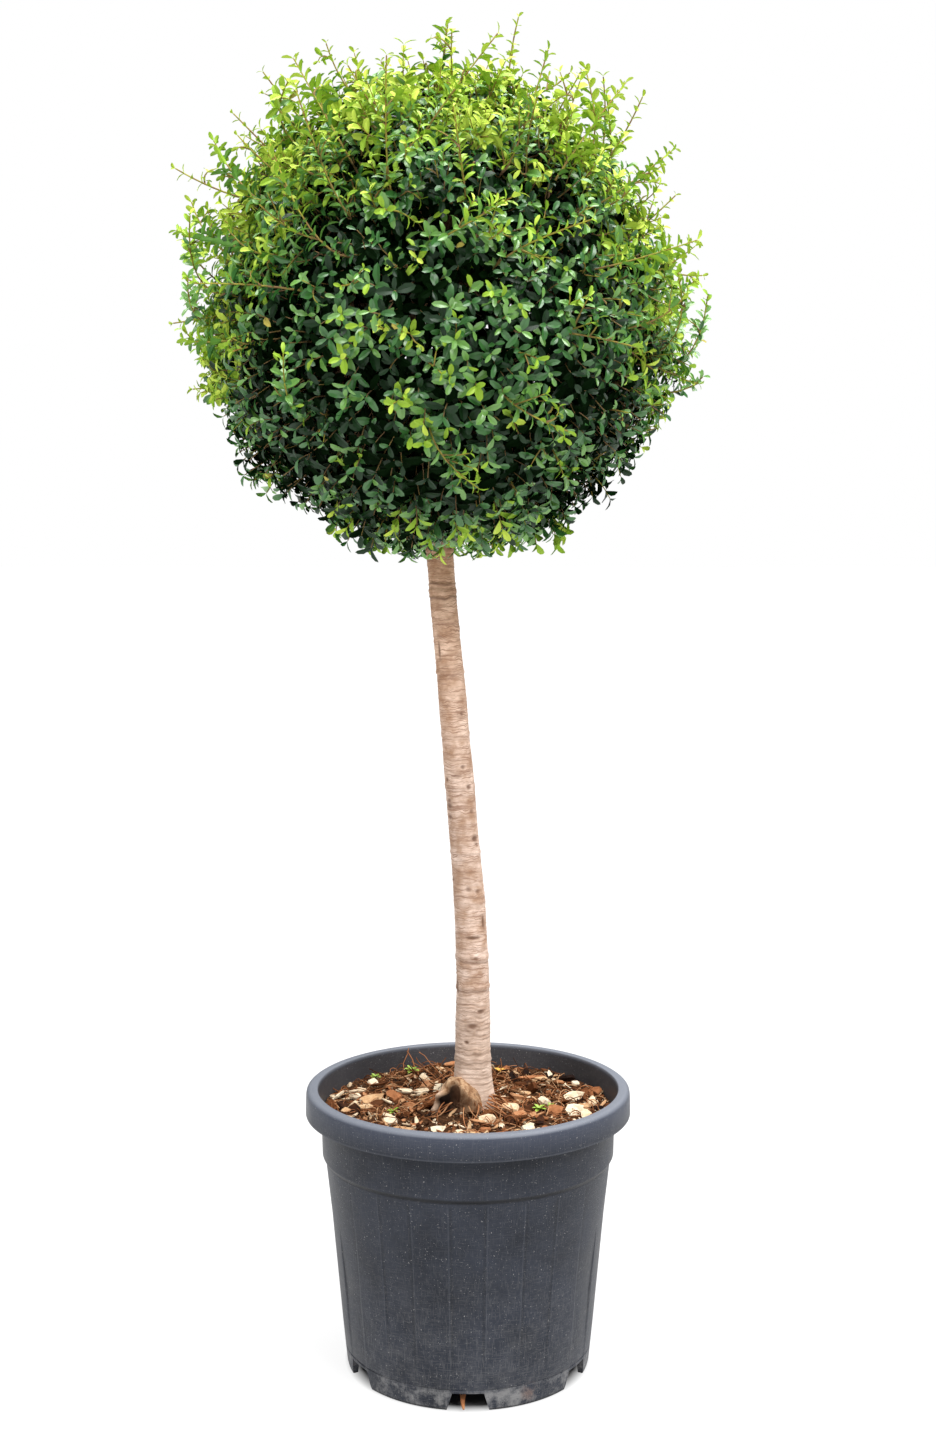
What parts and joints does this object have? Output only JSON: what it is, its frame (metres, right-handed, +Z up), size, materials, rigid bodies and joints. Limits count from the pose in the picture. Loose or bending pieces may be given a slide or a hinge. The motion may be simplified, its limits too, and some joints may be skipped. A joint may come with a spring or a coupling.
{
  "type": "standard lollipop topiary",
  "caption": "Small evergreen tree clipped to a shaggy ball on one clear, slightly leaning stem, standing in a round ribbed nursery pot with bark-chip mulch.",
  "frame": {"origin": "middle of the pot's underside, on the ground", "axes": "+Z up along the stem, -Y towards the front, +X to the right as seen from the front"},
  "size_m": [0.5673, 0.5395, 1.466],
  "materials": {
    "pot_plastic": "satin",
    "potting_mix": "matte",
    "bark": "matte",
    "foliage": "satin"
  },
  "bodies": {
    "root": {"pot": "pot_plastic", "soil": "potting_mix", "trunk": "bark", "old_stub": "bark", "bough_top": "bark", "bough_upper_1": "bark", "bough_upper_2": "bark", "bough_upper_3": "bark", "bough_upper_4": "bark", "bough_upper_5": "bark", "bough_lower_1": "bark", "bough_lower_2": "bark", "bough_lower_3": "bark", "bough_lower_4": "bark", "bough_lower_5": "bark", "leaf_mass_top": "foliage", "leaf_mass_upper_1": "foliage", "leaf_mass_upper_2": "foliage", "leaf_mass_upper_3": "foliage", "leaf_mass_upper_4": "foliage", "leaf_mass_upper_5": "foliage", "leaf_mass_lower_1": "foliage", "leaf_mass_lower_2": "foliage", "leaf_mass_lower_3": "foliage", "leaf_mass_lower_4": "foliage", "leaf_mass_lower_5": "foliage"}
  },
  "joints": []
}
